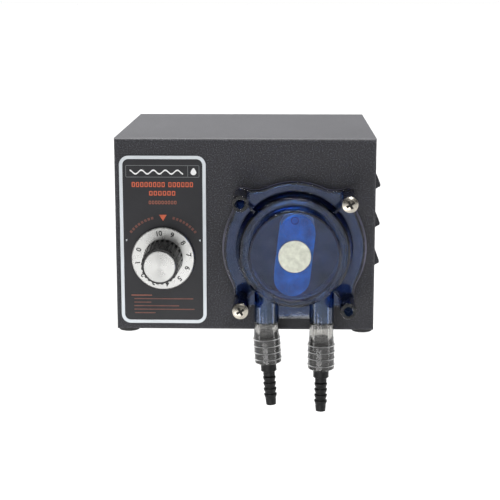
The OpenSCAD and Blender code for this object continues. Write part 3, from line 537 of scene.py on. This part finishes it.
# The route repeats that of the CAD tube, in millimetres from the pump's axis: x to the right,
# y up, z out of the panel. Depths along a leg run down from the top of its connector.
LEG_X, TUNNEL_END, TUBE_Z = 16.1, -42.4, 9.0
ARC_RADIUS, TURN_RADIUS, FLAT_Z = 28.0, 12.0, 8.65
ROUND_TUBE, FLAT_TUBE = (5.55, 5.55), (2.4, 7.0)
CONNECTOR_TOP, LEAN, LEAN_FROM = {-1: -47.6, 1: -51.3}, {-1: 3.8, 1: 0.0}, -50.0
BARB_TOP, BARB_PITCH, BARBS, TUBE_HOLD, HELD_RADIUS = 3.3, 4.0, 4, 20.0, 7.75
SIDES = 40


def between(a, b, t):
    """The value a part t of the way from a to b."""
    return a + (b - a) * t


def ease(t):
    """0 to 1 with a gentle start and end."""
    return t * t * (3 - 2 * t)


def smoothed(profile, steps=4):
    """A profile of (depth, radius) points with eased steps between them."""
    points = []
    for (d0, r0), (d1, r1) in zip(profile, profile[1:]):
        points += [(between(d0, d1, i / steps), between(r0, r1, ease(i / steps))) for i in range(steps)]
    return points + [profile[-1]]


def barb_depths():
    """How far down a leg the edge of each of its connector's barbs lies."""
    return [BARB_TOP + 1.5 + BARB_PITCH * i for i in range(BARBS)]


def outer_leg():
    """Stretched over the connector and drawn in below it."""
    return smoothed([(-1.5, 7.1), (BARB_TOP - 1.5, 7.35), (BARB_TOP + 1.5, HELD_RADIUS),
                     (TUBE_HOLD - 1, HELD_RADIUS), (TUBE_HOLD, 6.2)])


def inner_leg():
    """Narrowing onto the connector, then against it all the way down."""
    return [(-1.2, 5.1), (0.6, 4.95), (BARB_TOP - 1.1, 4.62), (BARB_TOP - 0.9, 4.2), (TUBE_HOLD, 4.2)]


def leg_centre(side, depth):
    """A point on the axis of a leg and the angle of that axis, which leans with the connector."""
    lean = LEAN[side] * max(0.0, min(1.0, 1 + depth / 4))
    along = CONNECTOR_TOP[side] - depth - LEAN_FROM
    a = math.radians(lean)
    return side * LEG_X - along * math.sin(a), LEAN_FROM + along * math.cos(a), lean


def leg_rings(side, profile):
    """The rings of one leg: x, y, heading and the two half widths."""
    rings = []
    for depth, radius in profile:
        x, y, lean = leg_centre(side, depth)
        rings.append((x, y, -90 * side + lean, radius, radius))
    return rings


def upper_half(wall):
    """The right half of the route above the tunnel, upwards: into the turn and over the raceway."""
    def size(t):
        thick, wide = (between(a, b, t) for a, b in zip(ROUND_TUBE, FLAT_TUBE))
        return max(0.7, thick - wall), wide - wall
    turn_x = LEG_X + TURN_RADIUS
    turn_y = -math.sqrt((ARC_RADIUS + TURN_RADIUS) ** 2 - turn_x ** 2)
    join = math.degrees(math.atan2(turn_y, turn_x))
    rings = []
    for i in range(13):
        a = between(180, 180 + join, i / 12)
        rings.append((turn_x + TURN_RADIUS * math.cos(math.radians(a)),
                      turn_y + TURN_RADIUS * math.sin(math.radians(a)), a + 90, *size(ease(i / 12))))
    for i in range(1, 37):
        a = between(join, 90, i / 36)
        rings.append((ARC_RADIUS * math.cos(math.radians(a)), ARC_RADIUS * math.sin(math.radians(a)),
                      a - 90, *size(1)))
    return rings


def tube_wall(leg, wall):
    """All rings of the outer or the inner face, from the left end to the right one."""
    half = upper_half(wall)
    left_half = [(-x, y, -heading, thick, wide) for x, y, heading, thick, wide in half]
    def leaving(side):
        return [(side * LEG_X, TUNNEL_END + 0.1, -90 * side, ROUND_TUBE[0] - wall, ROUND_TUBE[0] - wall),
                (side * LEG_X, TUNNEL_END - 0.8, -90 * side, leg[0][1], leg[0][1])]
    return (leg_rings(-1, leg[::-1]) + leaving(-1)[::-1] + left_half + half[-2::-1]
            + leaving(1) + leg_rings(1, leg))


def ring_points(ring):
    """The points round one ring, from a circle to the flattened shape over the raceway."""
    x, y, heading, thick, wide = ring
    a = math.radians(heading)
    across = Vector((math.sin(a), -math.cos(a), 0))
    flatness = max(0.0, min(1.0, (wide - thick) / (FLAT_TUBE[1] - FLAT_TUBE[0])))
    power = between(1, 0.72, flatness)
    middle = Vector((x, y, between(TUBE_Z, FLAT_Z, flatness)))
    points = []
    for k in range(SIDES):
        c, d = math.cos(math.tau * k / SIDES), math.sin(math.tau * k / SIDES)
        c, d = math.copysign(abs(c) ** power, c), math.copysign(abs(d) ** power, d)
        points.append((middle + across * thick * c + Vector((0, 0, wide * d))) * MM)
    return points


def tube_place():
    """The tube's own origin: on the pump's axis, at the face of the panel."""
    head = centre("head_window")
    return on_front(head.x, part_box("head_base")[1].y, head.z)


def pump_tube(clear):
    """One tube, hollow all the way, in place of the CAD tube, which is solid but for its ends."""
    work = bmesh.new()
    skins = []
    for leg, wall in ((outer_leg(), 0.0), (inner_leg(), 2.1)):
        loops = [[work.verts.new(p) for p in ring_points(ring)] for ring in tube_wall(leg, wall)]
        for below, above in zip(loops, loops[1:]):
            for k in range(SIDES):
                j = (k + 1) % SIDES
                work.faces.new((below[k], below[j], above[j], above[k]))
        skins.append(loops)
    for end in (0, -1):
        outside, inside = skins[0][end], skins[1][end]
        for k in range(SIDES):
            j = (k + 1) % SIDES
            work.faces.new((outside[k], outside[j], inside[j], inside[k]))
    bmesh.ops.recalc_face_normals(work, faces=work.faces)
    mesh = bpy.data.meshes.new("pump_tube")
    work.to_mesh(mesh)
    work.free()
    mesh.shade_smooth()
    mesh.set_sharp_from_angle(angle=math.radians(40))
    place = tube_place()
    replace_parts(piece("pump_tube", mesh, place, clear, "root"), "squeeze_tube")


def stretch_rings(pale_highlight):
    """A narrow ring where the tube is stretched over the edge of each barb, coloured with painted
    highlight that pales towards its sides.
    """
    radius, thick, around = HELD_RADIUS + 0.1, 0.26, 8
    place = tube_place()
    for side, name in ((-1, "left"), (1, "right")):
        work = bmesh.new()
        for depth in barb_depths():
            x, y, lean = leg_centre(side, depth)
            a = math.radians(lean - 90 * side)
            middle, along = Vector((x, y, TUBE_Z)), Vector((math.cos(a), math.sin(a), 0))
            across = Vector((math.sin(a), -math.cos(a), 0))
            loops = []
            for k in range(SIDES):
                c = math.tau * k / SIDES
                out = across * math.cos(c) + Vector((0, 0, math.sin(c)))
                loops.append([work.verts.new((middle + out * (radius + thick * math.cos(b))
                                              + along * thick * math.sin(b)) * MM)
                              for b in [math.tau * j / around for j in range(around)]])
            for k in range(SIDES):
                here, after = loops[k], loops[(k + 1) % SIDES]
                for j in range(around):
                    n = (j + 1) % around
                    work.faces.new((here[j], here[n], after[n], after[j]))
        bmesh.ops.recalc_face_normals(work, faces=work.faces)
        mesh = bpy.data.meshes.new(f"stretch_rings_{name}")
        work.to_mesh(mesh)
        work.free()
        mesh.shade_smooth()
        piece(f"stretch_rings_{name}", mesh, place, pale_highlight, "root")


# ---------- studio ----------

def area_light(name, place, target, size, power, size_y=None):
    """A soft lamp at a place, turned towards the target."""
    light = bpy.data.lights.new(name, "AREA")
    light.shape = "RECTANGLE"
    light.size = size
    light.size_y = size_y or size
    light.energy = power
    made = bpy.data.objects.new(name, light)
    made.location = place
    made.rotation_euler = (Vector(target) - Vector(place)).to_track_quat("-Z", "Y").to_euler()
    bpy.context.scene.collection.objects.link(made)


def surroundings():
    """White to look at; what the object reflects is grey behind it and dim on the viewer's side."""
    world = bpy.data.worlds.new("studio")
    world.use_nodes = True
    tree = world.node_tree
    background = tree.nodes["Background"]
    direction = tree.nodes.new("ShaderNodeTexCoord")
    parts = tree.nodes.new("ShaderNodeSeparateXYZ")
    tree.links.new(direction.outputs["Generated"], parts.inputs["Vector"])
    depth = tree.nodes.new("ShaderNodeMapRange")
    depth.interpolation_type = "SMOOTHSTEP"
    for key, value in (("From Min", -0.5), ("From Max", 0.5), ("To Min", 0.12), ("To Max", 0.45)):
        depth.inputs[key].default_value = value
    tree.links.new(parts.outputs["Y"], depth.inputs["Value"])
    seen = tree.nodes.new("ShaderNodeLightPath")
    strength = tree.nodes.new("ShaderNodeMath")
    strength.operation = "MAXIMUM"
    tree.links.new(depth.outputs["Result"], strength.inputs[0])
    tree.links.new(seen.outputs["Is Camera Ray"], strength.inputs[1])
    background.inputs["Color"].default_value = (1, 1, 1, 1)
    tree.links.new(strength.outputs["Value"], background.inputs["Strength"])
    bpy.context.scene.world = world
    bpy.context.scene.view_settings.view_transform = "Standard"


def studio():
    """A plain grey floor far below, lit until it looks white, the lamps and the camera."""
    scene = bpy.context.scene
    surroundings()

    low = cad_box[0]
    mesh = bpy.data.meshes.new("floor")
    floor_z, reach = low.z - 0.3, 40.0
    mesh.from_pydata([(-reach, -reach, floor_z), (reach, -reach, floor_z),
                      (reach, reach, floor_z), (-reach, reach, floor_z)], [], [(0, 1, 2, 3)])
    floor = bpy.data.objects.new("floor", mesh)
    scene.collection.objects.link(floor)
    mesh.materials.append(plain("floor_paper", (0.43, 0.43, 0.43, 1), (0.85, 0.95), 0.01))

    sun = bpy.data.lights.new("overhead", "SUN")
    sun.energy = 8.0
    sun.angle = math.radians(50)
    overhead = bpy.data.objects.new("overhead", sun)
    overhead.rotation_euler = Vector((0.2, -0.42, -1.0)).to_track_quat("-Z", "Y").to_euler()
    scene.collection.objects.link(overhead)

    middle = (cad_box[0] + cad_box[1]) / 2
    area_light("key", (0.2, -0.95, 0.85), middle, 0.35, 5.6)
    for side, name in ((-1, "left_side"), (1, "right_side")):
        area_light(name, (0.75 * side, -0.42, 0.05), middle, 0.22, 1.3, 0.7)
    area_light("fill", (-0.15, -0.62, -0.42), middle, 0.5, 2.8)

    camera = bpy.data.cameras.new("camera")
    camera.lens = 93.9
    camera.sensor_width = 36
    made = bpy.data.objects.new("camera", camera)
    made.location = (0.02257, -0.89899, 0.14297)
    made.rotation_euler = (math.radians(90 - 11.41), 0, math.radians(1.496))
    scene.collection.objects.link(made)
    scene.camera = made


materials = build_materials()
dress_cad_nodes(materials)
label_print(
    plain("print_silver", linear(190, 195, 199), (0.35, 0.5), 0.05, Metallic=0.3),
    plain("print_grey", linear(96, 98, 100), (0.35, 0.5), 0.08),
    plain("print_white", linear(215, 215, 215), (0.4, 0.5), 0.05),
    plain("print_orange", linear(178, 78, 44), (0.4, 0.5), 0.12, patch=300),
    plain("print_rust", linear(134, 72, 52), (0.4, 0.5), 0.15, patch=300),
    plain("print_faint_rust", linear(94, 48, 36), (0.4, 0.5), 0.25, patch=300))
dial_numbers(plain("print_ink", linear(12, 12, 13), (0.4, 0.5), 0.1))
screw_recesses(plain("recess_shadow", linear(20, 18, 14), (0.6, 0.8), 0.2))
# the gate ring's dark navy is painted shade at the edge of the boss
gate_mark(plain("gate_edge_painted_shade", linear(16, 36, 92), (0.2, 0.4), 0.3, patch=500))
pump_tube(materials["tube"])
# rings over the barbs, coloured with painted highlight at their sides
stretch_rings(whitened_tube())
studio()
